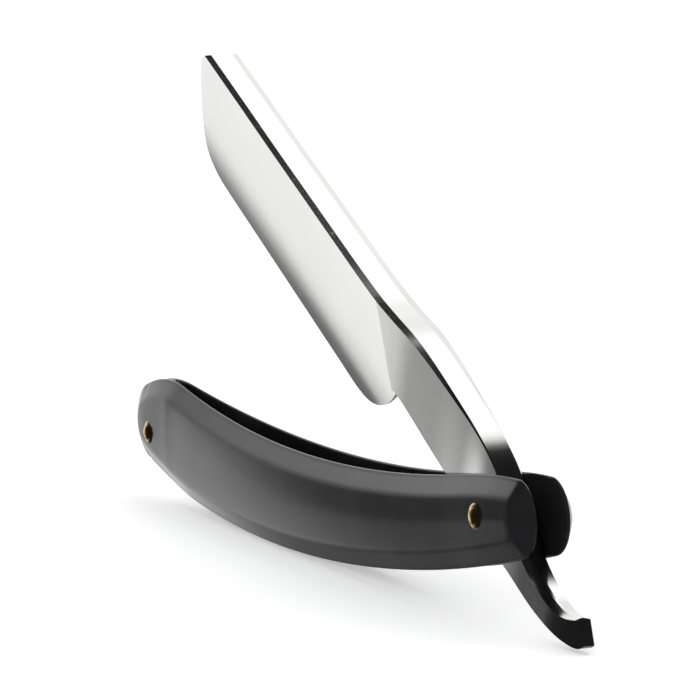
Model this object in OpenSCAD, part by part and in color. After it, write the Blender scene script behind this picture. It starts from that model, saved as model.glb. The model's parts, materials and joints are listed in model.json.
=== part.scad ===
// Straight razor, blade part open. Millimetres, +Z up, X along the handle, Y across it.
// The origin is on the ground under the middle of the razor's box at this opening.

/* [Opening] */
// Angle between the blade and the handle, which shuts against the scales at about 3.7
open_angle = 26.7; // [3.7:0.1:270]

/* [Handle] */
// Distance along the handle from the pivot pin to the wedge pin
pin_spacing = 135.5; // [135:0.1:136]
// Drop of the wedge pin below the pivot pin
wedge_pin_drop = 5.6; // [5.4:0.1:5.8]
// Greatest thickness of one scale
scale_t = 2.5; // [2.3:0.1:2.7]
// Thickness of a scale at its outer edge
scale_edge_t = 0.55; // [0.4:0.05:0.8]
// Width of the bevel along a scale's edges
bevel_w = 2.9; // [2.5:0.1:3.2]
// Extra height of a scale's face between the bevels
crown = 0.3; // [0.1:0.05:0.4]
// Gap between the scales at the pivot
gap_pivot = 4.7; // [4.6:0.1:4.8]
// Gap between the scales where they bow out most
gap_middle = 5.5; // [5.3:0.1:5.7]
// Gap between the scales at the wedge
gap_wedge = 1; // [0.9:0.05:1.2]

/* [Handle outline] */
// Radius of the hollow upper edge
top_r = 400.2; // [395:0.1:405]
// Place of the upper edge's lowest point, measured from the pivot
top_low_x = -70.5; // [-71:0.1:-70]
// Radius of the rounded lower edge
belly_r = 399.2; // [395:0.1:405]
// Place of the lower edge's lowest point, measured from the pivot
belly_x = -83.8; // [-84.2:0.1:-83.4]
// Depth of the lower edge below the pivot
belly_drop = 16.3; // [16.1:0.1:16.5]
// Radius of the round end at the pivot
pivot_end_r = 5.8; // [5.7:0.1:5.9]
// Distance of that round end's centre past the pivot
pivot_end_x = 10.3; // [10.1:0.1:10.4]
// Radius of the round end at the wedge
wedge_end_r = 6.4; // [6.3:0.1:6.5]
// Place of that round end's centre, measured from the pivot
wedge_end_x = -138.2; // [-138.5:0.1:-137.9]
// Drop of that round end's centre below the pivot
wedge_end_drop = 4.2; // [4:0.1:4.4]
// Slope of the shoulder above the wedge
shoulder_slope = 19; // [18:0.5:20]
// Slope of the lower edge below the wedge
keel_slope = 15; // [14:0.5:16]
// Share of its thickness that a scale loses from the wedge's grip to its end
end_thinning = 0.35; // [0.25:0.05:0.45]

/* [Blade] */
// Distance from the spine's flat to the cutting edge, below the spine line
edge_n = 13; // [12.6:0.1:13.2]
// Radius of the grinding wheel that hollowed the blade
wheel_r = 62; // [50:1:90]
// Thickness left at the cutting edge
edge_t = 0.12; // [0.08:0.01:0.2]
// Thickness of the spine at the nose
spine_nose_t = 5.7; // [5.5:0.1:5.8]
// Thickness of the spine at the shoulder
spine_heel_t = 6.1; // [6:0.1:6.2]
// Drop of the sloping facets beside the spine's flat
facet_h = 0.16; // [0.1:0.02:0.3]
// Width of the spine's flat
spine_flat = 3.6; // [3.4:0.1:3.8]
// Thickness of the tang at the pivot
tang_t = 4; // [3.9:0.05:4]
// Thickness of the tail at its end
tail_t = 1.6; // [1.4:0.1:1.8]
// Distance from the pivot to the shoulder
shoulder_u = 40.6; // [40:0.2:42]
// Angle of the shoulder line across the blade
shoulder_lean = 40; // [30:1:45]

/* [Pins] */
// Diameter of the pin rod
pin_d = 1.6; // [1.5:0.1:1.6]
// Clearance all round the pivot pin in the tang
pin_clear = 0.05; // [0.03:0.01:0.08]
// Diameter of the domed collars
collar_d = 3.9; // [3.7:0.1:4]
// Height of the collars' rim
collar_h = 0.45; // [0.4:0.05:0.5]
// Diameter of the riveted heads
head_d = 2.5; // [2.3:0.1:2.6]
// Height of the riveted heads above the collars
head_h = 0.4; // [0.3:0.05:0.45]
// Diameter of the thrust washers
washer_d = 6.4; // [6:0.1:6.6]
// Running clearance between each washer and the tang
washer_clear = 0.05; // [0.03:0.01:0.08]

/* [Hidden] */
$fn = 96;

// The pivot's place over the ground
pivot_x = 58.6;
pivot_z = belly_drop;

// Handle outline, all measured from the pivot
belly_c = [belly_x, belly_r - belly_drop];
top_c = [top_low_x, top_r];
pivot_end_c = [pivot_end_x,
    belly_c[1] - sqrt(pow(belly_r - pivot_end_r, 2) - pow(pivot_end_x - belly_x, 2))];
wedge_end_c = [wedge_end_x, -wedge_end_drop];
shoulder_p = wedge_end_c + wedge_end_r * [-sin(shoulder_slope), cos(shoulder_slope)];
keel_p = wedge_end_c - wedge_end_r * [sin(keel_slope), cos(keel_slope)];
bow_x = -54;
grip_x = -127;
wedge_x = -pin_spacing;
wedge_z = -wedge_pin_drop;

// Heights of the outline's lower and upper edge at x
function cap_z(c, r, x) = sqrt(max(0, r * r - pow(x - c[0], 2)));
function belly_touch_x(c) = belly_c[0] + (c[0] - belly_c[0]) * belly_r / norm(c - belly_c);
function soft_min(a, b, k) = min(a, b) - pow(max(0, k - abs(a - b)), 2) / (4 * k);
function low_z(x) =
    x > belly_touch_x(pivot_end_c) ? pivot_end_c[1] - cap_z(pivot_end_c, pivot_end_r, x)
    : x < keel_p[0] ? wedge_end_c[1] - cap_z(wedge_end_c, wedge_end_r, x)
    : -soft_min(sqrt(belly_r * belly_r - pow(x - belly_c[0], 2)) - belly_c[1],
        (x - keel_p[0]) * tan(keel_slope) - keel_p[1], 1.5);
function hollow_z(x) = top_c[1] - sqrt(top_r * top_r - pow(x - top_c[0], 2));
function high_z(x) =
    x > pivot_end_c[0]
    ? pivot_end_c[1] + cap_z(pivot_end_c, pivot_end_r, x)
    : x < shoulder_p[0]
    ? wedge_end_c[1] + cap_z(wedge_end_c, wedge_end_r, x)
    : soft_min(soft_min(hollow_z(x), pivot_end_c[1] + pivot_end_r, 2),
        shoulder_p[1] + (x - shoulder_p[0]) * tan(shoulder_slope), 4);

// Distance from the outline, inwards
function inside_by(x, z) =
    let (edges = min(z - low_z(x), high_z(x) - z))
    x > pivot_end_c[0] ? min(edges, pivot_end_r - norm([x, z] - pivot_end_c))
    : x < wedge_end_c[0] ? min(edges, wedge_end_r - norm([x, z] - wedge_end_c))
    : edges;

// Half of the gap between the scales at x, closing in from bow_x to the wedge's grip at grip_x,
// and the thickness of a scale at x and a distance d from its outline, thinning past the grip
function half_gap(x) =
    x > 0 ? gap_pivot / 2
    : x > bow_x ? gap_pivot / 2 + (gap_middle - gap_pivot) / 4 * (1 - cos(180 * x / bow_x))
    : -soft_min((gap_middle - gap_wedge) / 2 * pow((x - bow_x) / (grip_x - bow_x), 2) - gap_middle / 2,
        -gap_wedge / 2, 0.3);
function thick(d, x) =
    let (face_t = scale_t - crown, over = max(0, d - bevel_w) / (7.5 - bevel_w),
        thinning = 1 - end_thinning * max(0, grip_x - x) / (grip_x + wedge_end_r - wedge_end_x))
    scale_edge_t + thinning * ((face_t - scale_edge_t) * min(1, max(0, d) / bevel_w)
        + crown * (1 - pow(1 - min(1, over), 2)));

// Stations along the handle, closer together round the two ends
end_steps = 9;
mid_steps = 38;
first_x = wedge_end_c[0] - wedge_end_r * 0.998;
last_x = pivot_end_c[0] + pivot_end_r * 0.998;
stations = concat(
    [for (i = [0:end_steps - 1]) wedge_end_c[0] + (first_x - wedge_end_c[0]) * cos(90 * i / end_steps)],
    [for (i = [0:mid_steps]) wedge_end_c[0] + (pivot_end_c[0] - wedge_end_c[0]) * i / mid_steps],
    [for (i = [1:end_steps]) pivot_end_c[0] + (last_x - pivot_end_c[0]) * sin(90 * i / end_steps)]);

// Heights of the points across a scale at x: edge, bevel, face, bevel, edge
function rows(x) =
    let (low = low_z(x), high = high_z(x), b = min(bevel_w, 0.3 * (high - low)))
    concat([low, low + b / 2, low + b],
        [for (i = [1:4]) low + b + (high - low - 2 * b) * i / 5],
        [high - b, high - b / 2, high]);
row_n = 10;

// One scale on the +Y side
function scale_ring(x) =
    let (z = rows(x))
    concat([[x, half_gap(x), z[0]]],
        [for (h = z) [x, half_gap(x) + thick(inside_by(x, h), x), h]],
        [[x, half_gap(x), z[row_n - 1]]]);
module scale_shell() {
    ring_n = row_n + 2;
    last = len(stations) - 1;
    points = [for (x = stations) each scale_ring(x)];
    sides = [for (i = [0:last - 1]) for (j = [0:ring_n - 1])
        let (a = i * ring_n + j, b = i * ring_n + (j + 1) % ring_n)
        each [[a, a + ring_n, b + ring_n], [a, b + ring_n, b]]];
    caps = [[for (j = [0:ring_n - 1]) j], [for (j = [ring_n - 1:-1:0]) last * ring_n + j]];
    polyhedron(points, concat(sides, caps), convexity = 4);
}

// Places of the outer seats of the collars, half a hair below the scale's face
pivot_seat_y = gap_pivot / 2 + thick(6, 0) - 0.06;
wedge_seat_y = half_gap(wedge_x) + thick(6, wedge_x) - 0.18;

// A straight round bar along Y at a place in the handle
module bar_y(x, z, y0, y1, d) {
    translate([x, y0, z]) rotate([-90, 0, 0]) cylinder(d = d, h = y1 - y0);
}

// One finished scale on the +Y side, drilled for both pins and spot-faced for the collars
module handle_scale() {
    color("#151515") difference() {
        scale_shell();
        bar_y(0, 0, 0, 8, pin_d);
        bar_y(wedge_x, wedge_z, 0, 8, pin_d);
        bar_y(0, 0, pivot_seat_y, 8, collar_d + 0.1);
        bar_y(wedge_x, wedge_z, wedge_seat_y, 8, collar_d + 0.1);
    }
}

// Moves pivot-centred shapes to their place over the ground
module placed() {
    translate([pivot_x, 0, pivot_z]) children();
}
module back_scale() {
    placed() handle_scale();
}
module front_scale() {
    placed() mirror([0, 1, 0]) handle_scale();
}

// Spacer between the scales, its inner end clear of the blade's nose
nose_reach = 126;
module wedge_outline() {
    xs = [for (x = stations) if (x < wedge_x + 8.5) x];
    polygon(concat([for (x = xs) [x, low_z(x) + 0.12]],
        [for (i = [len(xs) - 1:-1:0]) [xs[i], high_z(xs[i]) - 0.12]]));
}
module wedge() {
    inset = 0.15;
    xs = [for (x = stations) if (x < wedge_x + 8.5 && x > first_x + inset) x];
    placed() color("#b9b8b2") difference() {
        intersection() {
            rotate([90, 0, 0]) linear_extrude(6, center = true) wedge_outline();
            translate([0, 0, -30]) linear_extrude(60)
                polygon(concat([for (x = xs) [x, -half_gap(x)]],
                    [for (i = [len(xs) - 1:-1:0]) [xs[i], half_gap(xs[i])]]));
        }
        bar_y(0, 0, -5, 5, 2 * nose_reach);
        bar_y(wedge_x, wedge_z, -5, 5, pin_d);
    }
}

// A round-ended rivet head: low dome over a short rim
module dome(d, h) {
    r = (d * d / 4 + h * h) / (2 * h);
    rotate_extrude() intersection() {
        translate([0, h - r]) circle(r = r);
        square([d / 2, h]);
    }
}
module pin(x, z, seat_y) {
    reach = seat_y + collar_h;
    placed() color("#c9a24a") union() {
        bar_y(x, z, -reach, reach, pin_d);
        for (s = [-1, 1])
            translate([x, s * reach, z]) rotate([-s * 90, 0, 0]) dome(head_d, head_h);
    }
}
module pivot_pin() {
    pin(0, 0, pivot_seat_y);
}
module wedge_pin() {
    pin(wedge_x, wedge_z, wedge_seat_y);
}

// Domed collar with a flat top for the rivet head, seated on the +Y (s = 1) or -Y face
module collar(x, z, seat_y, s) {
    placed() translate([x, s * seat_y, z]) rotate([-s * 90, 0, 0]) color("#d8b45c")
        rotate_extrude() difference() {
            union() {
                square([collar_d / 2 - 0.3, collar_h]);
                intersection() {
                    translate([collar_d / 2 - 0.45, 0]) circle(r = 0.45);
                    square([collar_d / 2, collar_h]);
                }
            }
            square([pin_d, 3 * collar_h], center = true);
        }
}
module front_pivot_collar() {
    collar(0, 0, pivot_seat_y, -1);
}
module back_pivot_collar() {
    collar(0, 0, pivot_seat_y, 1);
}
module front_wedge_collar() {
    collar(wedge_x, wedge_z, wedge_seat_y, -1);
}
module back_wedge_collar() {
    collar(wedge_x, wedge_z, wedge_seat_y, 1);
}

// Thin washer between the tang and one scale
module thrust_washer(s) {
    inner_y = tang_t / 2 + washer_clear;
    placed() color("#c9a24a") difference() {
        bar_y(0, 0, s > 0 ? inner_y : -gap_pivot / 2, s > 0 ? gap_pivot / 2 : -inner_y, washer_d);
        bar_y(0, 0, -4, 4, pin_d);
    }
}
module front_thrust_washer() {
    thrust_washer(-1);
}
module back_thrust_washer() {
    thrust_washer(1);
}

// Smooth curve through points, with its ends straight
function bend(a, b, c, d, t) = 0.5 * ((2 * b) + (c - a) * t + (2 * a - 5 * b + 4 * c - d) * t * t
    + (3 * b - a - 3 * c + d) * t * t * t);
function curve(p, steps = 5) = concat([for (i = [0:len(p) - 2]) for (k = [0:steps - 1])
    bend(p[max(i - 1, 0)], p[i], p[i + 1], p[min(i + 2, len(p) - 1)], k / steps)], [p[len(p) - 1]]);

// Blade outline: u runs from the pivot to the nose, n from the spine to the edge
nose_curve = curve([[109, edge_n], [114, 12.8], [118.2, 12], [121.7, 9.8], [123.8, 6.2],
    [124.5, 2], [124, -2], [122.8, -4.4], [121, -5.95]]);
back_curve = curve([[-31.2, -2.6], [-29.4, -2], [-27.6, -1.3], [-25.3, 0.1], [-22.2, 1.1],
    [-17.5, 1.4], [-12, 0.6], [-7.5, -1.2], [-3.5, -3.6], [0.5, -6], [5, -7.3], [11, -8.1],
    [19, -8.5], [27, -8.7], [34, -8.5], [41, -7.7], [47, -7.1], [55, -6.8], [64, -6.65],
    [78, -6.45], [92, -6.25], [106, -6.15], [121, -5.95], [127, -5.85]], 3);
under_curve = curve([[-31.2, 1.05], [-29.9, 2.4], [-27.3, 3.5], [-22.6, 4.5], [-15.8, 5],
    [-8, 4.7], [0, 4.9], [8, 4.9], [17, 4.4], [23, 3.9], [29, 3.2], [34.5, 2.7], [37.3, 3.1],
    [39, 4.7], [40.3, 6.9], [42.2, 9.2], [45, 11.2], [48.5, 12.5], [53, edge_n]]);
tail_end = [-27.6, -1.3];
module side_outline() {
    polygon(concat(nose_curve, [[116, -12], [-10, -12], tail_end], under_curve));
}

// Half thickness of the forging at u, and how much it thins per mm from the back to the edge
plan = [[-36, tail_t / 2 - 0.3, 0], [-31, tail_t / 2, 0], [-27.5, 1.3, 0], [-22.5, 1.7, 0],
    [-9, tang_t / 2, 0], [8, tang_t / 2, 0], [20, 2.5, 0.05], [35, spine_heel_t / 2, 0.06],
    [shoulder_u, spine_heel_t / 2 + 0.05, 0.06], [127, spine_nose_t / 2 + 0.15, 0.06]];
function half_t(u, n) = lookup(u, [for (p = plan) [p[0], p[1]]])
    - lookup(u, [for (p = plan) [p[0], p[2]]]) * (n + 8.5);

// Half width of the spine's flat at u, which closes to a ridge along the tail
function flat_half(u) = lookup(u, [[-16, 0.2], [-4, spine_flat / 2]]);

// The forging's thickness: flat spine, a facet on either side, then tapering sides
function slab_ring(p) =
    let (u = p[0], f = flat_half(u), low = p[1] + facet_h, side = half_t(u, low),
        foot = half_t(u, 16))
    [[u, p[1], f], [u, p[1], -f], [u, low, -side], [u, 16, -foot], [u, 16, foot], [u, low, side]];
module slab() {
    m = 6;
    last = len(back_curve) - 1;
    sides = [for (i = [0:last - 1]) for (j = [0:m - 1])
        let (a = i * m + j, b = i * m + (j + 1) % m) each [[a, a + m, b + m], [a, b + m, b]]];
    caps = [[for (j = [0:m - 1]) j], [for (j = [m - 1:-1:0]) last * m + j]];
    polyhedron([for (p = back_curve) each slab_ring(p)], concat(sides, caps), convexity = 6);
}

// Turns a shape drawn in u (X), n (Y), across (Z) into the shut blade
module shut() {
    rotate([0, 180, 0]) rotate([90, 0, 0]) children();
}

// Centre of the grinding wheel at u, which runs from the facet's lower line to the edge
function wheel_centre(u, back_n) =
    let (top = [back_n + facet_h, half_t(u, back_n + facet_h)], low = [edge_n, edge_t / 2],
        half = norm(low - top) / 2, dir = (low - top) / (2 * half))
    concat([u], (top + low) / 2 + sqrt(wheel_r * wheel_r - half * half) * [-dir[1], dir[0]]);
heel_wheel = wheel_centre(shoulder_u, -7.1);
nose_wheel = wheel_centre(126, -5.87);

// Wheel that hollows one side of the blade, from the shoulder to past the nose
module wheel() {
    run = nose_wheel - heel_wheel;
    difference() {
        translate(heel_wheel - 0.15 * run)
            rotate([0, acos(run[2] / norm(run)), atan2(run[1], run[0])])
                cylinder(r = wheel_r, h = 1.3 * norm(run), $fn = 360);
        translate([shoulder_u, 0, -5]) rotate([0, 0, shoulder_lean])
            translate([-60, -60, 0]) cube([60, 120, 60]);
    }
}

module forging() {
    intersection() {
        linear_extrude(8, center = true) side_outline();
        slab();
    }
}

// Notch in the end of the tail
module tail_notch() {
    translate([-30.6, -0.4, 0]) rotate([0, 0, 20]) cylinder(r = 1, h = 10, $fn = 4, center = true);
}

module blade() {
    placed() rotate([0, open_angle, 0]) color("#c8cacc") shut() difference() {
        forging();
        for (s = [0, 1]) mirror([0, 0, s]) wheel();
        translate([0, 0, -8]) cylinder(d = pin_d + 2 * pin_clear, h = 16);
        tail_notch();
    }
}

blade();
front_scale();
back_scale();
wedge();
pivot_pin();
wedge_pin();
front_pivot_collar();
back_pivot_collar();
front_wedge_collar();
back_wedge_collar();
front_thrust_washer();
back_thrust_washer();
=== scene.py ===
"""Straight razor: finished scales, blade, wedge and brass pins around the packed model."""

import json
import math

import bpy
from mathutils import Matrix, Vector

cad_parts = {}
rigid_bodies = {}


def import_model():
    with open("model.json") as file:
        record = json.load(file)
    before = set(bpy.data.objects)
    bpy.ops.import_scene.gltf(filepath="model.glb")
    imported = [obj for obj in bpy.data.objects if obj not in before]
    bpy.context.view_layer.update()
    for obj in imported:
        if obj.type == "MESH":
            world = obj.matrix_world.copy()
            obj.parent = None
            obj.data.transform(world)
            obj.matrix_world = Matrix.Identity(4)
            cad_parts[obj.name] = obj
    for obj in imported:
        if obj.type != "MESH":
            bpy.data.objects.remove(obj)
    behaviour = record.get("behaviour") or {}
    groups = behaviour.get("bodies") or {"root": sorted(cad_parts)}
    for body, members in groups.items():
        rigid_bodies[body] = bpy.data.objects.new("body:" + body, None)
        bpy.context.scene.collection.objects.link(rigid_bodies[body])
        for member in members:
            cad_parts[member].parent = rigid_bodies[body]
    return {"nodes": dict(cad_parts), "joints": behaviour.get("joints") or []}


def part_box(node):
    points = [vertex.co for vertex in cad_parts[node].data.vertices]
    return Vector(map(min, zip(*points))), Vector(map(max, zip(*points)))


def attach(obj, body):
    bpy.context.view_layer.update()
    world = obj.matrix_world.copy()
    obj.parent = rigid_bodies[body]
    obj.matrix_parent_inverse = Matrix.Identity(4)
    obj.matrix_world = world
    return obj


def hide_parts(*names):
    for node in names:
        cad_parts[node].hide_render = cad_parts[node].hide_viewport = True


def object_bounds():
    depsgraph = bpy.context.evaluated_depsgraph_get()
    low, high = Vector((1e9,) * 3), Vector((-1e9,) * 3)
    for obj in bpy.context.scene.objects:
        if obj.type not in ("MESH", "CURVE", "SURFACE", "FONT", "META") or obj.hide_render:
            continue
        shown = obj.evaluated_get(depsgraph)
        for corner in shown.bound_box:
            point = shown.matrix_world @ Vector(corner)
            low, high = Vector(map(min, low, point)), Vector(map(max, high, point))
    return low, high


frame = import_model()

bl_info = {
    "name": "Straight razor",
    "version": (1, 0, 0),
    "blender": (4, 5, 0),
    "location": "3D View > Sidebar > Razor",
    "description": "Builds a straight razor's scales, blade and pins, with their finishes and a studio",
    "category": "Object",
}

CAD_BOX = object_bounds()
MM = 0.001
HINGE = frame["joints"][0]
PIVOT = Vector(HINGE["pos_m"])
# Angle between the blade and the handle as the part is packed
OPEN_ANGLE = math.radians(26.7)
HANDLE, BLADE = HINGE["parent"], HINGE["child"]


# ---------------------------------------------------------------- sizes and colours


class ScaleSettings(bpy.types.PropertyGroup):
    """The two handle scales"""

    top_radius: bpy.props.FloatProperty(
        name="Upper edge radius", description="Radius of the hollow upper edge",
        default=400.2 * MM, unit="LENGTH")
    top_low: bpy.props.FloatProperty(
        name="Upper edge low point", description="Lowest point of the upper edge, from the pivot",
        default=-70.5 * MM, unit="LENGTH")
    belly_radius: bpy.props.FloatProperty(
        name="Lower edge radius", description="Radius of the rounded lower edge",
        default=399.2 * MM, unit="LENGTH")
    belly_low: bpy.props.FloatProperty(
        name="Lower edge low point", description="Lowest point of the lower edge, from the pivot",
        default=-83.8 * MM, unit="LENGTH")
    pivot_end: bpy.props.FloatVectorProperty(
        name="Pivot end", description="Radius of the round end at the pivot and its centre's reach",
        default=(5.8 * MM, 10.3 * MM), size=2, unit="LENGTH")
    wedge_end: bpy.props.FloatVectorProperty(
        name="Wedge end", description="Radius of the round end at the wedge and its centre's reach",
        default=(6.4 * MM, -138.2 * MM), size=2, unit="LENGTH")
    wedge_end_drop: bpy.props.FloatProperty(
        name="Wedge end drop", description="Drop of the wedge end's centre below the pivot",
        default=4.2 * MM, unit="LENGTH")
    keel_slope: bpy.props.FloatProperty(
        name="Keel slope", description="Slope of the lower edge below the wedge",
        default=math.radians(15), unit="ROTATION")
    end_thinning: bpy.props.FloatProperty(
        name="End thinning", description="Share of its thickness a scale loses towards its end",
        default=0.35)
    shoulder_slope: bpy.props.FloatProperty(
        name="Shoulder slope", description="Slope of the shoulder above the wedge",
        default=math.radians(19), subtype="ANGLE")
    thickness: bpy.props.FloatProperty(
        name="Thickness", description="Greatest thickness of a scale",
        default=2.5 * MM, unit="LENGTH")
    rim: bpy.props.FloatProperty(
        name="Rim", description="Thickness of a scale at its rounded rim",
        default=0.55 * MM, unit="LENGTH")
    bevel: bpy.props.FloatProperty(
        name="Bevel", description="Width of the bevel along the edges",
        default=2.9 * MM, unit="LENGTH")
    crown: bpy.props.FloatProperty(
        name="Crown", description="Height of the face's crown between the bevels",
        default=0.3 * MM, unit="LENGTH")
    gaps: bpy.props.FloatVectorProperty(
        name="Gaps", description="Gap between the scales at the pivot, at mid length and at the wedge",
        default=(4.7 * MM, 5.5 * MM, 1.0 * MM), size=3, unit="LENGTH")
    bow_at: bpy.props.FloatProperty(
        name="Widest point", description="Where the scales bow out most, from the pivot",
        default=-54 * MM, unit="LENGTH")
    grip_at: bpy.props.FloatProperty(
        name="Wedge grip", description="Where the scales meet the wedge, from the pivot",
        default=-127 * MM, unit="LENGTH")
    colour: bpy.props.FloatVectorProperty(
        name="Colour", description="Colour of the black scales",
        default=(0.012, 0.012, 0.013), size=3, subtype="COLOR", min=0, max=1)
    spacer_colour: bpy.props.FloatVectorProperty(
        name="Wedge colour", description="Colour of the grey wedge",
        default=(0.62, 0.61, 0.58), size=3, subtype="COLOR", min=0, max=1)


class BladeSettings(bpy.types.PropertyGroup):
    """The forged and ground blade"""

    edge_drop: bpy.props.FloatProperty(
        name="Edge drop", description="Distance of the cutting edge from the pivot's line",
        default=13 * MM, unit="LENGTH")
    wheel_radius: bpy.props.FloatProperty(
        name="Wheel radius", description="Radius of the wheel that hollowed the blade",
        default=62 * MM, unit="LENGTH")
    edge_thickness: bpy.props.FloatProperty(
        name="Edge thickness", description="Thickness left at the cutting edge",
        default=0.12 * MM, unit="LENGTH")
    spine_flat: bpy.props.FloatProperty(
        name="Spine flat", description="Width of the flat along the spine",
        default=3.6 * MM, unit="LENGTH")
    facet_drop: bpy.props.FloatProperty(
        name="Facet drop", description="Drop of the sloping facets beside the flat",
        default=0.16 * MM, unit="LENGTH")
    shoulder_width: bpy.props.FloatProperty(
        name="Shoulder width", description="Width of the ground ramp at the shoulder",
        default=1.6 * MM, unit="LENGTH")
    colour: bpy.props.FloatVectorProperty(
        name="Steel colour", description="Colour of the polished steel",
        default=(0.80, 0.80, 0.79), size=3, subtype="COLOR", min=0, max=1)


class PinSettings(bpy.types.PropertyGroup):
    """The brass pins and collars"""

    head_height: bpy.props.FloatProperty(
        name="Head height", description="Height of the riveted heads",
        default=0.4 * MM, unit="LENGTH")
    head: bpy.props.FloatProperty(
        name="Head diameter", description="Diameter of the riveted heads",
        default=2.5 * MM, unit="LENGTH")
    colour: bpy.props.FloatVectorProperty(
        name="Brass colour", description="Colour of the brass",
        default=(0.86, 0.63, 0.27), size=3, subtype="COLOR", min=0, max=1)


class StudioSettings(bpy.types.PropertyGroup):
    """Camera, lights and floor"""

    azimuth: bpy.props.FloatProperty(
        name="Azimuth", description="Camera's turn round the razor from the front",
        default=math.radians(66.701), subtype="ANGLE")
    elevation: bpy.props.FloatProperty(
        name="Elevation", description="Camera's height angle",
        default=math.radians(7.740), subtype="ANGLE")
    roll: bpy.props.FloatProperty(
        name="Roll", description="Camera's roll",
        default=math.radians(-1.1745), subtype="ANGLE")
    distance: bpy.props.FloatProperty(
        name="Distance", description="Camera's distance from its target",
        default=0.83649, unit="LENGTH")
    target: bpy.props.FloatVectorProperty(
        name="Target", description="Point that the camera looks at, from the pivot",
        default=(-55.554 * MM, 0.0, 17.449 * MM), size=3, unit="LENGTH")
    lens: bpy.props.FloatProperty(
        name="Lens", description="Focal length in millimetres", default=279.75)


# ---------------------------------------------------------------- small helpers


def deselect_all():
    for obj in bpy.context.selected_objects:
        obj.select_set(False)


def only(obj):
    deselect_all()
    obj.select_set(True)
    bpy.context.view_layer.objects.active = obj


def edit(obj, *steps):
    """Runs mesh operators on all of a piece in edit mode."""
    only(obj)
    bpy.ops.object.mode_set(mode="EDIT")
    bpy.ops.mesh.select_all(action="SELECT")
    for step in steps:
        step()
    bpy.ops.object.mode_set(mode="OBJECT")


def apply_modifier(obj, kind, **settings):
    only(obj)
    mod = obj.modifiers.new(kind.title(), kind)
    for key, value in settings.items():
        setattr(mod, key, value)
    bpy.ops.object.modifier_apply(modifier=mod.name)


def smooth(obj, angle=30):
    only(obj)
    bpy.ops.object.shade_smooth_by_angle(angle=math.radians(angle))


def tidy_mesh(obj, merge=0.004 * MM):
    """Welds doubles and points every face outwards."""
    edit(obj,
         lambda: bpy.ops.mesh.remove_doubles(threshold=merge),
         lambda: bpy.ops.mesh.dissolve_degenerate(threshold=merge / 2),
         lambda: bpy.ops.mesh.normals_make_consistent(inside=False))


def grid_piece(name, columns, rows, place, crisp_rows=()):
    """A grid of columns by rows whose points are moved to place(column, row)."""
    deselect_all()
    bpy.ops.mesh.primitive_grid_add(x_subdivisions=columns, y_subdivisions=rows, size=2)
    obj = bpy.context.object
    obj.name = obj.data.name = name
    row_of = []
    for v in obj.data.vertices:
        row = round((v.co.y + 1) / 2 * rows)
        v.co = place(round((v.co.x + 1) / 2 * columns), row)
        row_of.append(row)
    for e in obj.data.edges:
        first, last = (row_of[i] for i in e.vertices)
        e.use_edge_sharp = first == last and first in crisp_rows
    obj.location = (0, 0, 0)
    return obj


def copy_piece(obj, name, matrix):
    """A copy with its own mesh, turned or mirrored in the mesh."""
    twin = obj.copy()
    twin.data = obj.data.copy()
    twin.name = twin.data.name = name
    bpy.context.scene.collection.objects.link(twin)
    twin.data.transform(matrix)
    if matrix.determinant() < 0:
        twin.data.flip_normals()
    return twin


def finish_piece(obj, body, node, material):
    obj.data.materials.clear()
    obj.data.materials.append(material)
    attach(obj, body)
    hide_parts(node)


def paint_node(node, material):
    obj = frame["nodes"][node]
    obj.data.materials.clear()
    obj.data.materials.append(material)


def smooth_step(low, high, x):
    t = min(1.0, max(0.0, (x - low) / (high - low)))
    return t * t * (3 - 2 * t)


def soft_min(a, b, k):
    return min(a, b) - max(0.0, k - abs(a - b)) ** 2 / (4 * k)


def spline(points, i, t):
    """A smooth curve's point between points i and i + 1."""
    last = len(points) - 1
    a, b, c, d = (points[min(max(j, 0), last)] for j in (i - 1, i, i + 1, i + 2))
    return tuple(
        0.5 * (2 * q + (r - p) * t + (2 * p - 5 * q + 4 * r - s) * t * t
               + (3 * q - p - 3 * r + s) * t ** 3)
        for p, q, r, s in zip(a, b, c, d))


def follow(points, x):
    """Height at x of the smooth curve through points that run in rising x."""
    for i in range(len(points) - 1):
        if x <= points[i + 1][0] or i == len(points) - 2:
            low, high = 0.0, 1.0
            for _ in range(24):
                mid = (low + high) / 2
                if spline(points, i, mid)[0] < x:
                    low = mid
                else:
                    high = mid
            return spline(points, i, (low + high) / 2)[1]


# ---------------------------------------------------------------- shader maths


class Sock:
    """A shader socket that takes part in Python arithmetic."""

    def __init__(self, shader, socket):
        self.shader, self.socket = shader, socket

    def _math(self, operation, a, b=None):
        return self.shader.node("ShaderNodeMath", {"operation": operation}, a, b)[0]

    def __add__(self, other):
        return self._math("ADD", self, other)

    def __radd__(self, other):
        return self._math("ADD", other, self)

    def __sub__(self, other):
        return self._math("SUBTRACT", self, other)

    def __rsub__(self, other):
        return self._math("SUBTRACT", other, self)

    def __mul__(self, other):
        return self._math("MULTIPLY", self, other)

    def __rmul__(self, other):
        return self._math("MULTIPLY", other, self)

    def __truediv__(self, other):
        return self._math("DIVIDE", self, other)

    def __rtruediv__(self, other):
        return self._math("DIVIDE", other, self)

    def __neg__(self):
        return self._math("MULTIPLY", self, -1.0)

    def __pow__(self, other):
        return self._math("POWER", self, other)

    def clamp(self, low=0.0, high=1.0):
        return self.shader.node("ShaderNodeClamp", {}, self, low, high)[0]

    def step(self, low, high):
        """Smooth step of this value from 0 at low to 1 at high."""
        t = ((self - low) / (high - low)).clamp()
        return t * t * (3.0 - 2.0 * t)


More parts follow.
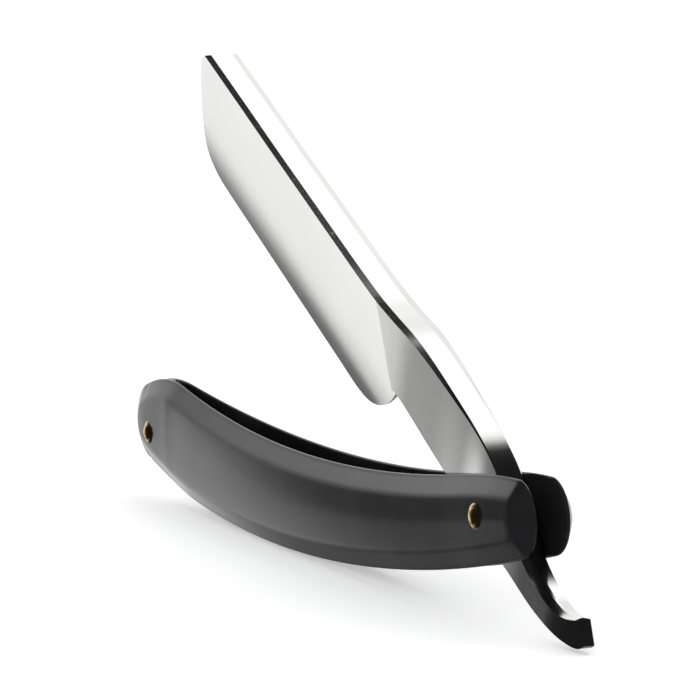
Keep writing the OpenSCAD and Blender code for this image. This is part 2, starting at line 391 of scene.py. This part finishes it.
class Shader:
    """Builds a node tree by expressions."""

    def __init__(self, tree):
        self.tree = tree
        tree.nodes.clear()

    def node(self, kind, settings, *inputs, **named):
        """Adds a node, sets it up, then feeds its sockets in order or by name."""
        node = self.tree.nodes.new(kind)
        for key, value in settings.items():
            if key == "stops":
                self.fill_ramp(node.color_ramp, value)
            else:
                setattr(node, key, value)
        for socket, value in zip(node.inputs, inputs):
            self.feed(socket, value)
        for key, value in named.items():
            self.feed(node.inputs[key.replace("_", " ")], value)
        return [Sock(self, out) for out in node.outputs]

    def feed(self, socket, value):
        if value is None:
            return
        if isinstance(value, Sock):
            self.tree.links.new(value.socket, socket)
        else:
            socket.default_value = value

    @staticmethod
    def fill_ramp(ramp, stops):
        while len(ramp.elements) < len(stops):
            ramp.elements.new(1.0)
        for element, (place, colour) in zip(ramp.elements, stops):
            element.position, element.color = place, colour

    def place(self, scale=(1, 1, 1), turn=(0, 0, 0)):
        """Object coordinates, turned and stretched."""
        here = self.node("ShaderNodeTexCoord", {})[3]
        return self.node("ShaderNodeMapping", {"vector_type": "POINT"}, here,
                         (0, 0, 0), turn, scale)[0]

    def noise(self, where, scale, detail=4.0, roughness=0.55):
        return self.node("ShaderNodeTexNoise", {}, Vector=where, Scale=scale, Detail=detail,
                         Roughness=roughness)[0]

    def mix(self, factor, a, b):
        """Mixes two colours."""
        node = self.tree.nodes.new("ShaderNodeMix")
        node.data_type = "RGBA"
        for socket, value in ((node.inputs[0], factor), (node.inputs[6], a), (node.inputs[7], b)):
            self.feed(socket, value)
        return Sock(self, node.outputs[2])

    def bump(self, height, strength, distance):
        return self.node("ShaderNodeBump", {}, Strength=strength, Distance=distance,
                         Height=height)[0]


def material(name, colour, fill):
    """A Principled material; fill(shader) gives the inputs of its shader."""
    mat = bpy.data.materials.new(name)
    mat.use_nodes = True
    mat.diffuse_color = (*colour, 1)
    shader = Shader(mat.node_tree)
    surface = shader.node("ShaderNodeBsdfPrincipled", {}, **fill(shader))[0]
    shader.node("ShaderNodeOutputMaterial", {}, Surface=surface)
    return mat


def rgba(colour, gain=1.0):
    return (*(min(1.0, c * gain) for c in colour), 1.0)


def black_scale_finish(settings):
    """Buffed black scale: deep gloss with faint buffing marks and dust-fine texture."""
    colour = tuple(settings.colour)

    def fill(s):
        swirl = s.noise(s.place((30, 300, 220)), 1.0, 5.0)
        cloud = s.noise(s.place((60, 60, 60)), 1.0, 3.0)
        scratch = s.noise(s.place((90, 900, 2600)), 1.0, 6.0, 0.7)
        return {
            "Base_Color": s.mix(cloud.step(0.35, 0.7), rgba(colour, 0.8), rgba(colour, 1.5)),
            "Roughness": (0.13 + 0.05 * swirl + 0.05 * scratch.step(0.55, 0.8)).clamp(),
            "Normal": s.bump(0.7 * swirl + 0.3 * scratch, 0.035, 0.0002),
        }

    return material("buffed_black", colour, fill)


def steel_finish(settings, name, grain, rough):
    """Polished steel whose fine grinding lines run across or along the blade."""
    colour = tuple(settings.colour)
    turn = (0, OPEN_ANGLE, 0)

    def fill(s):
        lines = s.noise(s.place(grain, turn), 1.0, 6.0, 0.65)
        haze = s.noise(s.place((45, 45, 45), turn), 1.0, 4.0)
        spots = s.noise(s.place((700, 700, 700), turn), 1.0, 2.0).step(0.66, 0.76)
        return {
            "Metallic": 1.0,
            "Base_Color": s.mix(0.5 * haze + 0.25 * lines, rgba(colour, 1.06), rgba(colour, 0.88)),
            "Roughness": (rough + 0.07 * lines + 0.06 * haze + 0.08 * spots).clamp(),
            "Normal": s.bump(lines, 0.03, 0.0001),
        }

    return material(name, colour, fill)


def brass_finish(settings):
    """Peened brass, browner in random patches of tarnish."""
    colour = tuple(settings.colour)

    def fill(s):
        tarnish = s.noise(s.place((900, 900, 900)), 1.0, 5.0, 0.6).step(0.45, 0.7)
        peen = s.noise(s.place((1500, 1500, 1500)), 1.0, 2.0)
        return {
            "Metallic": 1.0,
            "Base_Color": s.mix(tarnish, rgba(colour, 1.05), rgba((0.62, 0.40, 0.15))),
            "Roughness": (0.26 + 0.1 * tarnish).clamp(),
            "Normal": s.bump(peen, 0.12, 0.00005),
        }

    return material("peened_brass", colour, fill)


def spacer_finish(settings):
    """Satin grey spacer with a fine mottle and sanding lines."""
    colour = tuple(settings.spacer_colour)

    def fill(s):
        mottle = s.noise(s.place((400, 400, 400)), 1.0, 5.0)
        sanding = s.noise(s.place((200, 3000, 3000)), 1.0, 4.0)
        return {
            "Base_Color": s.mix(mottle.step(0.35, 0.65), rgba(colour, 0.86), rgba(colour, 1.1)),
            "Roughness": (0.38 + 0.14 * sanding).clamp(),
            "Normal": s.bump(sanding, 0.15, 0.0001),
        }

    return material("satin_grey", colour, fill)


# ---------------------------------------------------------------- scales


# Distance from the outline at which a scale's crown is full
CROWN_REACH = 7.5 * MM
# Lengths over which two surfaces of the handle blend into each other
KEEL_BLEND, CREST_BLEND, SHOULDER_BLEND = 1.5 * MM, 2 * MM, 4 * MM
GRIP_BLEND = FACE_BLEND = 0.3 * MM


class HandleShape:
    """Outline, bow and thickness of a scale, measured from the pivot."""

    def __init__(self, s):
        self.s = s
        drop = PIVOT.z
        self.belly = (s.belly_low, s.belly_radius - drop)
        self.top = (s.top_low, s.top_radius)
        self.pivot_end = self.end_centre(*s.pivot_end)
        self.wedge_end = (s.wedge_end[1], -s.wedge_end_drop)
        r = s.wedge_end[0]
        self.shoulder = (self.wedge_end[0] - r * math.sin(s.shoulder_slope),
                         self.wedge_end[1] + r * math.cos(s.shoulder_slope))
        self.keel = (self.wedge_end[0] - r * math.sin(s.keel_slope),
                     self.wedge_end[1] - r * math.cos(s.keel_slope))
        self.first = self.wedge_end[0] - r
        self.last = self.pivot_end[0] + s.pivot_end[0]

    def end_centre(self, r, x):
        run = self.s.belly_radius - r
        return (x, self.belly[1] - math.sqrt(run ** 2 - (x - self.belly[0]) ** 2))

    def touch(self, end):
        gap = math.dist(end, self.belly)
        return self.belly[0] + (end[0] - self.belly[0]) * self.s.belly_radius / gap

    def low(self, x):
        """Height of the lower edge: round pivot end, belly, keel, round wedge end."""
        for end, r, reached in (
                (self.pivot_end, self.s.pivot_end[0], x > self.touch(self.pivot_end)),
                (self.wedge_end, self.s.wedge_end[0], x < self.keel[0])):
            if reached:
                return end[1] - math.sqrt(max(0.0, r ** 2 - (x - end[0]) ** 2))
        belly = self.belly[1] - math.sqrt(self.s.belly_radius ** 2 - (x - self.belly[0]) ** 2)
        rise = self.keel[1] - (x - self.keel[0]) * math.tan(self.s.keel_slope)
        return -soft_min(-belly, -rise, KEEL_BLEND)

    def high(self, x):
        """Height of the upper edge: round pivot end, hollow, shoulder, round wedge end."""
        s = self.s
        if x > self.pivot_end[0]:
            return self.pivot_end[1] + math.sqrt(
                max(0.0, s.pivot_end[0] ** 2 - (x - self.pivot_end[0]) ** 2))
        if x < self.shoulder[0]:
            return self.wedge_end[1] + math.sqrt(
                max(0.0, s.wedge_end[0] ** 2 - (x - self.wedge_end[0]) ** 2))
        hollow = self.top[1] - math.sqrt(s.top_radius ** 2 - (x - self.top[0]) ** 2)
        crest = soft_min(hollow, self.pivot_end[1] + s.pivot_end[0], CREST_BLEND)
        slope = self.shoulder[1] + (x - self.shoulder[0]) * math.tan(s.shoulder_slope)
        return soft_min(crest, slope, SHOULDER_BLEND)

    def inside_by(self, x, z):
        edges = min(z - self.low(x), self.high(x) - z)
        if x > self.pivot_end[0]:
            edges = min(edges, self.s.pivot_end[0] - math.dist((x, z), self.pivot_end))
        if x < self.wedge_end[0]:
            edges = min(edges, self.s.wedge_end[0] - math.dist((x, z), self.wedge_end))
        return max(0.0, edges)

    def half_gap(self, x):
        """Half of the gap between the scales, widest where they bow out, closed by the wedge."""
        pivot, middle, wedge = self.s.gaps
        if x > 0:
            return pivot / 2
        if x > self.s.bow_at:
            return pivot / 2 + (middle - pivot) / 4 * (1 - math.cos(math.pi * x / self.s.bow_at))
        run = (x - self.s.bow_at) / (self.s.grip_at - self.s.bow_at)
        closing = (middle - wedge) / 2 * run ** 2 - middle / 2
        return -soft_min(closing, -wedge / 2, GRIP_BLEND)

    def rim_round(self, d):
        """How far the rounded rim has opened at a distance d from the outline."""
        r = self.s.rim / 2
        return math.sqrt(max(0.0, r * r - max(0.0, r - d) ** 2))

    def outer(self, d, x):
        """Height of the outer face over the inner one, at a distance d from the outline."""
        s = self.s
        r = s.rim / 2
        face = s.thickness - s.crown - s.rim
        if d < r:
            return r + self.rim_round(d)
        ramp = face * (d - r) / (s.bevel - r)
        over = min(1.0, max(0.0, d - s.bevel) / (CROWN_REACH - s.bevel))
        top = face + s.crown * (1 - (1 - over) ** 2)
        thinning = 1 - s.end_thinning * max(0.0, s.grip_at - x) / (s.grip_at - self.first)
        return s.rim + thinning * soft_min(ramp, top, FACE_BLEND)

    def inner(self, d):
        return self.s.rim / 2 - self.rim_round(d)


def scale_columns(shape, step):
    """Places along the handle, gathered closely round both ends."""
    ends = 16
    left, right = shape.wedge_end[0], shape.pivot_end[0]
    count = round((right - left) / step)
    xs = [left + (shape.first - left) * math.cos(math.pi / 2 * i / ends) for i in range(ends)]
    xs += [left + (right - left) * i / count for i in range(count + 1)]
    xs += [right + (shape.last - right) * math.sin(math.pi / 2 * i / ends)
           for i in range(1, ends + 1)]
    return xs


def scale_offsets(half):
    """Distances from the edge to the middle of a column of this half height."""
    near = [0, 0.03, 0.1, 0.2, 0.32, 0.6, 1.1, 1.7, 2.2, 2.5, 2.7, 2.9, 3.1, 3.3, 3.6, 4.1, 4.8]
    k = min(1.0, half / (5.4 * MM))
    offsets = [d * MM * k for d in near]
    rest = [offsets[-1] + (half - offsets[-1]) * i / 3 for i in (1, 2, 3)]
    return offsets + rest


def make_scale(settings):
    """The back scale: a ring of rows round each column, drilled for both pins."""
    shape = HandleShape(settings)
    xs = scale_columns(shape, 1.1 * MM)
    inner_rows = (0.03, 0.1, 0.2, 0.32)
    rings = []
    for x in xs:
        low, high = shape.low(x), shape.high(x)
        half = (high - low) / 2
        offs = scale_offsets(half)
        heights = [low + d for d in offs] + [high - d for d in reversed(offs[:-1])]
        ring = [(z, shape.outer(shape.inside_by(x, z), x)) for z in heights]
        k = min(1.0, half / (5.4 * MM))
        backs = [high - d * MM * k for d in inner_rows]
        backs += [high + (low - high) * i / 8 for i in range(1, 8)]
        backs += [low + d * MM * k for d in reversed(inner_rows)]
        ring += [(z, shape.inner(shape.inside_by(x, z))) for z in backs]
        ring.append(ring[0])
        rings.append([Vector((x, shape.half_gap(x) + y, z)) + PIVOT for z, y in ring])
    obj = grid_piece("black_scale_back", len(xs) - 1, len(rings[0]) - 1,
                     lambda c, r: rings[c][r])
    tidy_mesh(obj)
    for pin in ("pivot_pin", "wedge_pin"):
        lo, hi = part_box(pin)
        drill(obj, (lo + hi) / 2, 0.8 * MM)
    smooth(obj, 40)
    return obj


def drill(obj, centre, radius):
    """Cuts a round hole along Y."""
    deselect_all()
    bpy.ops.mesh.primitive_cylinder_add(vertices=48, radius=radius, depth=40 * MM,
                                        location=centre, rotation=(math.pi / 2, 0, 0))
    bit = bpy.context.object
    only(bit)
    bpy.ops.object.transform_apply(location=True, rotation=True, scale=True)
    apply_modifier(obj, "BOOLEAN", object=bit, operation="DIFFERENCE", solver="EXACT")
    bpy.data.objects.remove(bit)


class RAZOR_OT_scales(bpy.types.Operator):
    """Builds the two black handle scales"""

    bl_idname = "razor.scales"
    bl_label = "Handle scales"

    def execute(self, context):
        settings = context.scene.razor_scale
        finish = black_scale_finish(settings)
        back = make_scale(settings)
        front = copy_piece(back, "black_scale_front", Matrix.Scale(-1, 4, (0, 1, 0)))
        finish_piece(back, HANDLE, "back_scale", finish)
        finish_piece(front, HANDLE, "front_scale", finish)
        return {"FINISHED"}


class RAZOR_OT_wedge(bpy.types.Operator):
    """Gives the wedge its satin grey finish and softened arrises"""

    bl_idname = "razor.wedge"
    bl_label = "Wedge"

    def execute(self, context):
        piece = copy_piece(frame["nodes"]["wedge"], "grey_wedge", Matrix.Identity(4))
        piece.parent = None
        tidy_mesh(piece)
        edit(piece, lambda: bpy.ops.mesh.dissolve_limited(angle_limit=math.radians(1)))
        apply_modifier(piece, "BEVEL", width=0.12 * MM, segments=2, limit_method="ANGLE",
                       angle_limit=math.radians(40))
        smooth(piece, 35)
        finish_piece(piece, HANDLE, "wedge", spacer_finish(context.scene.razor_scale))
        return {"FINISHED"}


# ---------------------------------------------------------------- blade

# Blade outline in millimetres: u runs from the pivot to the nose, n from the spine to the edge
BACK = [(-27.6, -1.3), (-25.3, 0.1), (-22.2, 1.1), (-17.5, 1.4), (-12, 0.6), (-7.5, -1.2),
        (-3.5, -3.6), (0.5, -6), (5, -7.3), (11, -8.1), (19, -8.5), (27, -8.7), (34, -8.5),
        (41, -7.7), (47, -7.1), (55, -6.8), (64, -6.65), (78, -6.45), (92, -6.25), (106, -6.15),
        (121, -5.95)]
UNDER = [(-31.2, 1.05), (-29.9, 2.4), (-27.3, 3.5), (-22.6, 4.5), (-15.8, 5), (-8, 4.7), (0, 4.9),
         (8, 4.9), (17, 4.4), (23, 3.9), (29, 3.2), (34.5, 2.7), (37.3, 3.1), (39, 4.7), (40.3, 6.9),
         (42.2, 9.2), (45, 11.2), (48.5, 12.5), (53, 13), (60, 13), (80, 13), (100, 13), (109, 13),
         (114, 12.8), (118.2, 12), (120.6, 10.8)]
NOSE = [(-5.95, 121), (-4.4, 122.8), (-2, 124), (2, 124.5), (6.2, 123.8), (9, 122.3), (10.8, 120.6)]
# Where each main column meets the back and the underside
COLUMNS = [(-27.6, -31.2), (-26.6, -30), (-25, -27.6), (-21.8, -23.2), (-17, -17), (-12, -10.5),
           (-7.5, -5.5), (-3.5, -1.5), (0.5, 2), (6, 6), (12, 12), (19, 19), (27, 27), (35, 32.5),
           (41, 35.3), (44.6, 36.6), (46.5, 37.3), (47.8, 38.1), (49.2, 39.4), (51, 41.6),
           (53.5, 45), (57, 50), (62, 57), (72, 69), (86, 85), (100, 99), (109, 108), (115, 113.6),
           (119, 118), (121, 120.6)]
SHOULDER_COLUMN = 16
# Half thickness of the forging, and how much it thins per millimetre towards the edge
PLAN = [(-36, 0.5, 0), (-31, 0.8, 0), (-27.5, 1.3, 0), (-22.5, 1.7, 0), (-9, 2.0, 0), (4, 2.0, 0),
        (10, 2.12, 0.05), (20, 2.47, 0.06), (35, 3.05, 0.06), (40.6, 3.1, 0.06), (127, 3.0, 0.06)]


# Height on the blade at which the half thicknesses of PLAN hold
PLAN_N = -8.5
# Where the hollow grind begins and ends: distance along the blade and height of the spine there
GRIND_HEEL, GRIND_NOSE = (40.6, -7.1), (126, -5.87)
# Half width of the ridge that the spine's flat narrows to along the tail
TAIL_RIDGE = 0.2


def look_up(table, x, column=1):
    """Straight-line lookup in a table of rows that start with x."""
    for low, high in zip(table, table[1:]):
        if x <= high[0]:
            t = max(0.0, (x - low[0]) / (high[0] - low[0]))
            return low[column] + (high[column] - low[column]) * t
    return table[-1][column]


class ForgingShape:
    """The blade's surface, in its own u, n and across directions, in millimetres."""

    def __init__(self, s):
        self.flat = s.spine_flat / 2 / MM
        self.drop = s.facet_drop / MM
        self.edge = (s.edge_drop / MM, s.edge_thickness / 2 / MM)
        self.wheel = s.wheel_radius / MM
        self.heel = self.wheel_centre(*GRIND_HEEL)
        self.nose = self.wheel_centre(*GRIND_NOSE)

    def wheel_centre(self, u, back):
        top = (back + self.drop, self.side(u, back + self.drop))
        mid = ((top[0] + self.edge[0]) / 2, (top[1] + self.edge[1]) / 2)
        run = math.dist(top, self.edge)
        away = math.sqrt(self.wheel ** 2 - run ** 2 / 4) / run
        return (mid[0] - (self.edge[1] - top[1]) * away, mid[1] + (self.edge[0] - top[0]) * away)

    def side(self, u, n):
        """The forged side before grinding."""
        blur = (-2, -1, 0, 1, 2)
        half = sum(look_up(PLAN, u + step) for step in blur) / len(blur)
        taper = sum(look_up(PLAN, u + step, 2) for step in blur) / len(blur)
        return half - taper * (n - PLAN_N)

    def hollow(self, u, n):
        t = (u - GRIND_HEEL[0]) / (GRIND_NOSE[0] - GRIND_HEEL[0])
        cn = self.heel[0] + (self.nose[0] - self.heel[0]) * t
        ca = self.heel[1] + (self.nose[1] - self.heel[1]) * t
        return ca - math.sqrt(self.wheel ** 2 - (n - cn) ** 2)

    def flat_half(self, u):
        """Half of the spine's flat, which closes to a ridge along the tail."""
        return TAIL_RIDGE + (self.flat - TAIL_RIDGE) * smooth_step(-16, -4, u)


def column_line(k, t):
    """The ends of a column on the back and on the underside."""
    top_u, low_u = spline(COLUMNS, k, t)
    return (top_u, follow(BACK, top_u)), (low_u, follow(UNDER, low_u))


def column_point(top, low, bulge, s):
    n = top[1] + (low[1] - top[1]) * s
    u = top[0] + (low[0] - top[0]) * s
    chord = NOSE[0][1] + (NOSE[-1][1] - NOSE[0][1]) * s
    nose_n = NOSE[0][0] + (NOSE[-1][0] - NOSE[0][0]) * s
    return u + bulge * (follow(NOSE, nose_n) - chord), n


def make_forging(settings):
    """Half of the forging as a grid of columns and rows, mirrored into the whole."""
    shape = ForgingShape(settings)
    finer = 7
    columns = [(k, i / finer) for k in range(len(COLUMNS) - 1) for i in range(finer)]
    columns.append((len(COLUMNS) - 2, 1.0))
    grind = settings.shoulder_width / MM
    turn = Matrix.Rotation(OPEN_ANGLE, 4, "Y")
    face_rows = 26

    def lay(u, n, across):
        return PIVOT + turn @ (Vector((-u, across, -n)) * MM)

    grid = []
    for k, t in columns:
        top, low = column_line(k, t)
        bulge = smooth_step(96, 121, top[0]) ** 1.5
        past = k + t - SHOULDER_COLUMN
        facet_s = shape.drop / (low[1] - top[1])
        u, n = column_point(top, low, bulge, 0)
        line = [lay(u, n, 0), lay(u, n, shape.flat_half(top[0]))]
        for j in range(face_rows + 1):
            s = facet_s + (1 - facet_s) * j / face_rows
            u, n = column_point(top, low, bulge, s)
            across = shape.side(u, n)
            if past > 0:
                beyond = (top[0] - COLUMNS[SHOULDER_COLUMN][0]) * (1 - s) + s * (
                    low[0] - COLUMNS[SHOULDER_COLUMN][1])
                ground = min(across, shape.hollow(u, n))
                across += (ground - across) * smooth_step(0, grind, beyond + 0.02)
            line.append(lay(u, n, max(across, shape.edge[1])))
        line.append(lay(u, n, 0))
        grid.append(line)
    for end in (0, -1):
        cap = [p.copy() for p in grid[end]]
        for p in cap:
            p.y = 0
        grid.insert(0 if end == 0 else len(grid), cap)
    obj = grid_piece("steel_blade", len(grid) - 1, len(grid[0]) - 1, lambda c, r: grid[c][r],
                     crisp_rows=(1, 2, face_rows + 2))
    apply_modifier(obj, "MIRROR", use_axis=(False, True, False), use_clip=True,
                   merge_threshold=0.001 * MM)
    tidy_mesh(obj, 0.002 * MM)
    return obj


class RAZOR_OT_blade(bpy.types.Operator):
    """Builds the blade, shank and tail as one forging"""

    bl_idname = "razor.blade"
    bl_label = "Blade"

    def execute(self, context):
        settings = context.scene.razor_blade
        obj = make_forging(settings)
        drill(obj, PIVOT, 0.85 * MM)
        smooth(obj, 18)
        finish = steel_finish(settings, "polished_steel", (2200, 60, 260), 0.05)
        finish_piece(obj, BLADE, "blade", finish)
        return {"FINISHED"}


# ---------------------------------------------------------------- pins and collars


def turned_piece(name, centre, rings):
    """Turns a piece about a line along Y: a circle drawn through rings of radius and place."""
    (radius, y), *rest = rings
    deselect_all()
    bpy.ops.mesh.primitive_circle_add(vertices=64, radius=radius, location=(centre.x, y, centre.z),
                                      rotation=(math.pi / 2, 0, 0))
    obj = bpy.context.object
    obj.name = obj.data.name = name
    only(obj)
    bpy.ops.object.transform_apply(location=True, rotation=True, scale=True)
    bpy.ops.object.mode_set(mode="EDIT")
    bpy.ops.mesh.select_all(action="SELECT")
    for next_radius, next_y in rest:
        bpy.ops.mesh.extrude_region_move(
            TRANSFORM_OT_translate={"value": (0, next_y - y, 0)})
        k = next_radius / radius
        bpy.ops.transform.resize(value=(k, 1, k), center_override=(centre.x, next_y, centre.z))
        radius, y = next_radius, next_y
    bpy.ops.object.mode_set(mode="OBJECT")
    tidy_mesh(obj, 0.002 * MM)
    smooth(obj, 40)
    return obj


def quarter_round(r_low, r_high, y_low, y_high, steps):
    """Rings of a rounded shoulder between two radii and two places."""
    return [(r_high + (r_low - r_high) * math.cos(math.pi / 2 * i / steps),
             y_low + (y_high - y_low) * math.sin(math.pi / 2 * i / steps))
            for i in range(steps + 1)]


def make_collar(name, node, settings):
    """A domed collar on the seat that the frame gives."""
    lo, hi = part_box(node)
    centre = (lo + hi) / 2
    inner, outer = (lo.y, hi.y) if centre.y > 0 else (hi.y, lo.y)
    wide, bore = (hi.x - lo.x) / 2, 0.8 * MM
    crown = quarter_round(wide, settings.head / 2 * 0.8, inner, outer, 9)
    rings = [(bore, inner), (wide - 0.01 * MM, inner), *crown, (bore, outer), (bore, inner)]
    return turned_piece(name, centre, rings)


def make_pin(name, node, settings):
    """A rod with a domed, riveted head at each end."""
    lo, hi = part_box(node)
    centre = (lo + hi) / 2
    head, rod, pole = settings.head / 2, 0.8 * MM, 0.0005 * MM
    reach = (hi.y - lo.y) / 2
    under = reach - settings.head_height
    dome = quarter_round(head, pole, under, reach, 9)
    half = [(rod, 0.3 * MM), (rod, under), (head - 0.01 * MM, under), *dome]
    rings = [(r, -y) for r, y in reversed(half)] + half
    return turned_piece(name, centre, rings)


class RAZOR_OT_pins(bpy.types.Operator):
    """Builds the two pins, their four collars and the thrust washers' finish"""

    bl_idname = "razor.pins"
    bl_label = "Pins and collars"

    def execute(self, context):
        settings = context.scene.razor_pin
        brass = brass_finish(settings)
        for place in ("pivot", "wedge"):
            pin = make_pin(f"brass_{place}_pin", f"{place}_pin", settings)
            finish_piece(pin, HANDLE, f"{place}_pin", brass)
            for side in ("front", "back"):
                node = f"{side}_{place}_collar"
                collar = make_collar(f"brass_{node}", node, settings)
                finish_piece(collar, HANDLE, node, brass)
        for side in ("front", "back"):
            paint_node(f"{side}_thrust_washer", brass)
        return {"FINISHED"}


# ---------------------------------------------------------------- studio


def studio_world():
    """White room for the eye and the floor; a bright sweep behind and a dark front for gloss."""
    world = bpy.data.worlds.new("studio")
    bpy.context.scene.world = world
    world.use_nodes = True
    s = Shader(world.node_tree)
    way = s.node("ShaderNodeTexCoord", {})[0]
    x, y, z = s.node("ShaderNodeSeparateXYZ", {}, way)[:3]
    flat = (x * x + y * y + 0.0001) ** 0.5
    turn = s.node("ShaderNodeMath", {"operation": "ARCTAN2"}, -y, -x)[0] * (180 / math.pi)
    rise = s.node("ShaderNodeMath", {"operation": "ARCTAN2"}, z, flat)[0] * (180 / math.pi)
    sweep = turn.step(-78.0, -60.0) * (1.0 - turn.step(16.0, 29.0))
    skirting = rise.step(-9.6, -8.6) * (1.0 - rise.step(-6.0, 8.0))
    low_side = 1.0 - 0.8 * turn.step(17.5, 24.0) * skirting
    top_box = turn.step(-75.0, -60.0) * (1.0 - turn.step(-31.0, -27.0))
    top_box = top_box * rise.step(25.0, 50.0) * (1.0 - rise.step(72.0, 76.0))
    top_box = top_box * (1.0 - rise.step(57.0, 60.0) * turn.step(-40.0, -36.0))
    wall = sweep * low_side * (1.0 - rise.step(26.0, 44.0))
    floor = 1.0 - rise.step(-26.0, -15.0)
    ground = 0.22 * floor * (1.0 - turn.step(10.0, 35.0))
    glow = (wall * (1.0 - floor) + ground + 1.3 * top_box).clamp(0.0, 1.4) + 0.012
    ray = s.node("ShaderNodeLightPath", {})
    camera_ray, diffuse_ray = ray[0], ray[2]
    plain = (camera_ray + diffuse_ray).clamp()
    light = glow * (1.0 - plain) + plain
    out = s.node("ShaderNodeBackground", {}, Color=(1, 1, 1, 1), Strength=light)[0]
    s.node("ShaderNodeOutputWorld", {}, Surface=out)


def studio_camera(settings):
    az, el = settings.azimuth, settings.elevation
    back = Vector((math.sin(az) * math.cos(el), -math.cos(az) * math.cos(el), math.sin(el)))
    right = Vector((math.cos(az), math.sin(az), 0))
    up = back.cross(right)
    turned = right * math.cos(settings.roll) + up * math.sin(settings.roll)
    raised = up * math.cos(settings.roll) - right * math.sin(settings.roll)
    data = bpy.data.cameras.new("camera")
    data.lens = settings.lens
    data.sensor_width = 36
    data.clip_start, data.clip_end = 0.01, 20
    camera = bpy.data.objects.new("camera", data)
    bpy.context.scene.collection.objects.link(camera)
    camera.matrix_world = Matrix((
        (turned.x, raised.x, back.x, 0), (turned.y, raised.y, back.y, 0),
        (turned.z, raised.z, back.z, 0), (0, 0, 0, 1)))
    camera.location = PIVOT + Vector(settings.target) + back * settings.distance
    bpy.context.scene.camera = camera


def studio_floor():
    deselect_all()
    bpy.ops.mesh.primitive_plane_add(size=3, location=(0, 0, CAD_BOX[0][2] - 0.05 * MM))
    floor = bpy.context.object
    floor.name = "studio_floor"
    only(floor)
    bpy.ops.object.transform_apply(location=True, rotation=True, scale=True)

    def fill(s):
        grain = s.noise(s.place((20, 20, 20)), 1.0, 3.0)
        return {
            "Base_Color": s.mix(grain, rgba((0.83, 0.84, 0.84)), rgba((0.87, 0.87, 0.87))),
            "Roughness": 0.6 + 0.05 * grain,
            "Emission_Color": s.mix(grain, rgba((0.98, 0.98, 0.98)), rgba((1.0, 1.0, 1.0))),
            "Emission_Strength": 0.35,
        }

    floor.data.materials.append(material("pale_glass_plate", (0.9, 0.9, 0.9), fill))
    floor.visible_glossy = False


def studio_light(name, size, power, place, aim=(0, 0, 0.03)):
    data = bpy.data.lights.new(name, "AREA")
    data.shape, data.size, data.energy = "SQUARE", size, power
    light = bpy.data.objects.new(name, data)
    bpy.context.scene.collection.objects.link(light)
    light.location = place
    light.rotation_euler = (Vector(aim) - Vector(place)).to_track_quat("-Z", "Y").to_euler()
    return light


class RAZOR_OT_stage(bpy.types.Operator):
    """Sets up the studio: camera, world, lights and a pale floor"""

    bl_idname = "razor.stage"
    bl_label = "Studio"

    def execute(self, context):
        context.scene.view_settings.view_transform = "Standard"
        studio_camera(context.scene.razor_studio)
        studio_world()
        studio_floor()
        studio_light("soft_top", 0.9, 0.6, (-0.2, 0.3, 0.9)).visible_glossy = False
        return {"FINISHED"}


class RAZOR_PT_panel(bpy.types.Panel):
    """Lists the razor's pieces and their settings"""

    bl_idname = "RAZOR_PT_panel"
    bl_label = "Straight razor"
    bl_space_type = "VIEW_3D"
    bl_region_type = "UI"
    bl_category = "Razor"

    def draw(self, context):
        for operator in OPERATORS:
            self.layout.operator(operator.bl_idname)
        for name, group in SETTINGS.items():
            box = self.layout.box()
            box.label(text=group.__doc__)
            for key in group.__annotations__:
                box.prop(getattr(context.scene, name), key)


OPERATORS = (RAZOR_OT_scales, RAZOR_OT_wedge, RAZOR_OT_blade, RAZOR_OT_pins, RAZOR_OT_stage)
SETTINGS = {
    "razor_scale": ScaleSettings,
    "razor_blade": BladeSettings,
    "razor_pin": PinSettings,
    "razor_studio": StudioSettings,
}


def register():
    for cls in (*SETTINGS.values(), *OPERATORS, RAZOR_PT_panel):
        bpy.utils.register_class(cls)
    for name, group in SETTINGS.items():
        setattr(bpy.types.Scene, name, bpy.props.PointerProperty(type=group))


def unregister():
    for name in SETTINGS:
        delattr(bpy.types.Scene, name)
    for cls in reversed((*SETTINGS.values(), *OPERATORS, RAZOR_PT_panel)):
        bpy.utils.unregister_class(cls)


def main():
    register()
    bpy.ops.razor.scales()
    bpy.ops.razor.wedge()
    bpy.ops.razor.blade()
    bpy.ops.razor.pins()
    bpy.ops.razor.stage()


if __name__ == "__main__":
    main()
